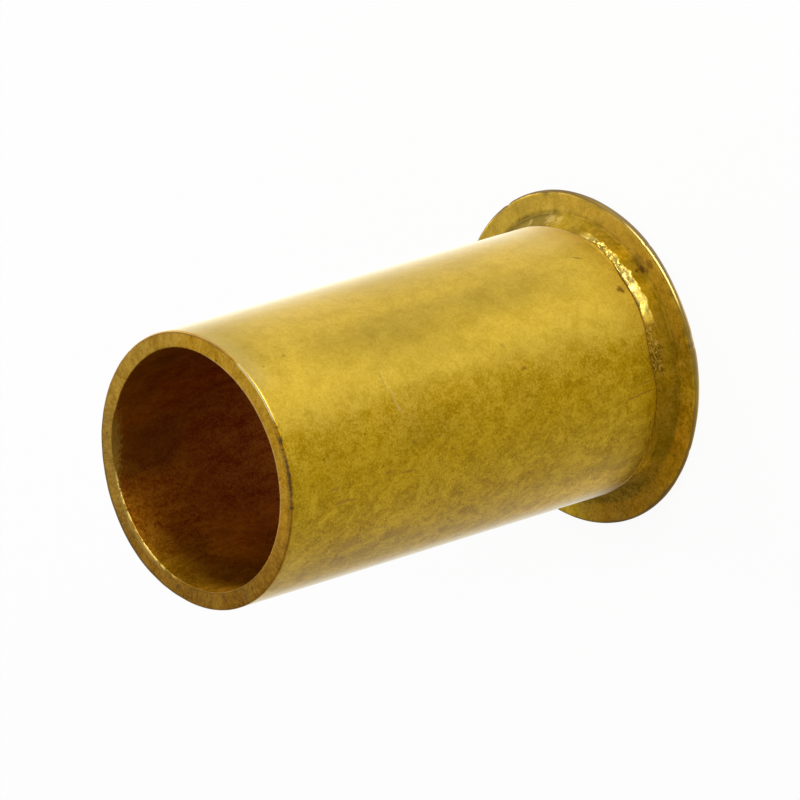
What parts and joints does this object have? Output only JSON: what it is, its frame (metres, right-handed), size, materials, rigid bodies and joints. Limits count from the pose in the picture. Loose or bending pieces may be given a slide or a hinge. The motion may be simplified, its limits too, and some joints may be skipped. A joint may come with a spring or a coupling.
{
  "type": "pipe support sleeve",
  "caption": "Thin drawn brass tube with one end flared to a flat flange, pushed into the end of a soft pipe to hold it open inside a compression fitting.",
  "frame": {"origin": "centre of the flange's flat end face, on which the sleeve stands", "axes": "+Z along the tube from the flange to the cut end; +X and +Y are square to it, with -Y towards the viewer"},
  "size_m": [0.0098, 0.0096, 0.0149],
  "materials": {
    "brass": "drawn and tumbled yellow brass, unpolished, dull with a fine mottled tarnish and a darker bore"
  },
  "bodies": {
    "root": {"sleeve": "brass"}
  },
  "joints": []
}
